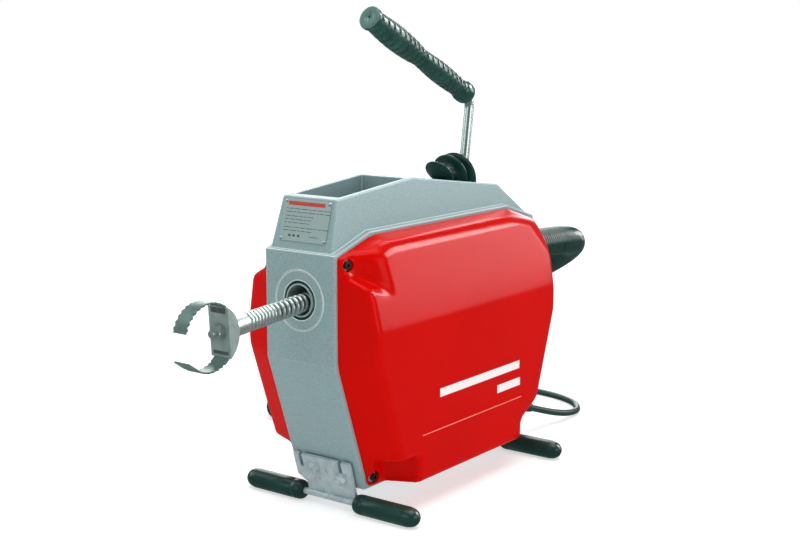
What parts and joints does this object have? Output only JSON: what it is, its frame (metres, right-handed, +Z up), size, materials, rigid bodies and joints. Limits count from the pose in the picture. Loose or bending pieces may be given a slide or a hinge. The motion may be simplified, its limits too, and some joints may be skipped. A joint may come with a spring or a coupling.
{
  "type": "drain cleaning machine",
  "caption": "Sectional drain cleaning machine: grey cast frame, red side covers, clutch lever, spiral with claw cutter, guide hose and lead.",
  "frame": {"origin": "on the floor under the middle of the machine, the free hose, lead, coil and plug left out", "axes": "+Y from the cutter to the hose socket, +Z up, +X to the right when looking along +Y"},
  "size_m": [0.5584, 0.9731, 0.5715],
  "materials": {
    "grey_paint": "hammered silver-grey lacquer",
    "red_shell": "moulded, orange-peel gloss",
    "chrome_steel": "chrome plated",
    "spring_steel": "oiled spring steel",
    "bright_steel": "machined",
    "zinc_steel": "zinc plated",
    "black_steel": "black oxide",
    "blade_steel": "hardened, worn",
    "black_rubber": "ribbed matt rubber",
    "black_plastic": "moulded",
    "grey_plastic": "moulded",
    "plate": "printed plate",
    "cast_iron": "machined casting",
    "cast_aluminium": "cast",
    "copper_windings": "lacquered",
    "brass_pins": "nickel plated"
  },
  "bodies": {
    "root": {"frame": "grey_paint", "cover_left": "red_shell", "cover_right": "red_shell", "cover_screws": "black_steel", "cover_washers": "zinc_steel", "nameplate": "plate", "nameplate_rivets": "zinc_steel", "spindle_seals": "black_rubber", "bearing_outer_rings": "bright_steel", "drive_belt": "black_rubber", "motor_housing": "cast_aluminium", "motor_stator": "copper_windings", "motor_end_shields": "cast_aluminium", "motor_bearings": "bright_steel", "motor_cradle": "cast_iron", "motor_capacitor": "grey_plastic", "lever_pivot_pin": "bright_steel", "lever_bellows": "black_rubber", "foot_plates": "zinc_steel", "foot_bars": "zinc_steel", "foot_grips": "black_rubber", "foot_fasteners": "zinc_steel", "switch_box": "grey_plastic", "hose_socket": "black_plastic", "guide_hose": "black_plastic", "hose_end_cuff": "black_rubber", "cord_gland": "black_plastic", "strain_relief": "black_rubber", "mains_cord": "black_rubber", "cord_coil": "black_rubber", "plug": "black_rubber", "plug_pins": "brass_pins"},
    "spindle_body": {"spindle": "bright_steel", "bearing_inner_rings": "bright_steel", "bearing_balls": "bright_steel", "spindle_pulley": "cast_iron", "clutch_spring": "spring_steel", "sleeve_key": "bright_steel"},
    "motor_rotor_body": {"motor_rotor": "bright_steel", "cooling_fan": "black_plastic", "motor_pulley": "bright_steel"},
    "lever": {"lever_rod": "chrome_steel", "lever_grip": "black_rubber", "lever_fork": "cast_iron"},
    "release": {"release_ring": "bright_steel"},
    "sleeve": {"pressure_sleeve": "bright_steel", "thrust_bearing": "bright_steel"},
    "jaw_top": {"clutch_jaw_1": "black_steel"},
    "jaw_right": {"clutch_jaw_2": "black_steel"},
    "jaw_left": {"clutch_jaw_3": "black_steel"},
    "spiral_guide": {"spiral_core": "black_plastic"},
    "spiral": {"spiral_coil": "spring_steel", "spiral_coupling": "bright_steel", "cutter_shank": "bright_steel", "cutter_head": "blade_steel", "cutter_blade_upper": "blade_steel", "cutter_blade_lower": "blade_steel", "cutter_bolt": "zinc_steel"},
    "pin": {"coupling_pin": "bright_steel"},
    "switch": {"switch_knob": "black_plastic"}
  },
  "joints": [
    {"name": "spindle_spin", "type": "hinge", "parent": "root", "child": "spindle_body", "pos_m": [0, 0.07375, 0.2522], "axis": [0, 1, 0], "continuous": true},
    {"name": "motor_spin", "type": "hinge", "parent": "root", "child": "motor_rotor_body", "pos_m": [0, 0.07375, 0.1173], "axis": [0, 1, 0], "continuous": true},
    {"name": "lever_hinge", "type": "hinge", "parent": "root", "child": "lever", "pos_m": [0, 0.14495, 0.3293], "axis": [1, 0, 0], "range_deg": [0, 18], "stiffness_Nm_per_rad": 4, "springref_deg": -28.65, "deforming": ["lever_bellows"]},
    {"name": "release_slide", "type": "slide", "parent": "root", "child": "release", "axis": [0, 1, 0], "range_m": [0, 0.0189]},
    {"name": "sleeve_slide", "type": "slide", "parent": "spindle_body", "child": "sleeve", "axis": [0, 1, 0], "range_m": [0, 0.0189], "deforming": ["clutch_spring"]},
    {"name": "jaw_top_slide", "type": "slide", "parent": "spindle_body", "child": "jaw_top", "axis": [0, 0, -1], "range_m": [0, 0.0042]},
    {"name": "jaw_right_slide", "type": "slide", "parent": "spindle_body", "child": "jaw_right", "axis": [-0.866, 0, 0.5], "range_m": [0, 0.0042]},
    {"name": "jaw_left_slide", "type": "slide", "parent": "spindle_body", "child": "jaw_left", "axis": [0.866, 0, 0.5], "range_m": [0, 0.0042]},
    {"name": "spiral_feed", "type": "slide", "parent": "root", "child": "spiral_guide", "axis": [0, -0.9976, -0.0698], "range_m": [-0.03, 0.06]},
    {"name": "spiral_spin", "type": "hinge", "parent": "spiral_guide", "child": "spiral", "pos_m": [0, -0.07125, 0.2522], "axis": [0, 0.9976, 0.0698], "continuous": true},
    {"name": "pin_press", "type": "slide", "parent": "spiral", "child": "pin", "axis": [-0.6428, -0.0534, 0.7642], "range_m": [0, 0.003], "stiffness_N_per_m": 900, "springref_m": -0.0015},
    {"name": "switch_turn", "type": "hinge", "parent": "root", "child": "switch", "pos_m": [0, 0.28097, 0.11819], "axis": [0, 0.9468, -0.3218], "range_deg": [-45, 45]}
  ],
  "couplings": [
    {"joint": "motor_spin", "follows": "spindle_spin", "ratio": 4.2857},
    {"joint": "spiral_spin", "follows": "spindle_spin", "ratio": 1},
    {"joint": "release_slide", "follows": "lever_hinge", "m_per_rad": 0.06016},
    {"joint": "sleeve_slide", "follows": "lever_hinge", "m_per_rad": 0.06016},
    {"joint": "jaw_top_slide", "follows": "lever_hinge", "m_per_rad": 0.013369},
    {"joint": "jaw_right_slide", "follows": "lever_hinge", "m_per_rad": 0.013369},
    {"joint": "jaw_left_slide", "follows": "lever_hinge", "m_per_rad": 0.013369}
  ]
}
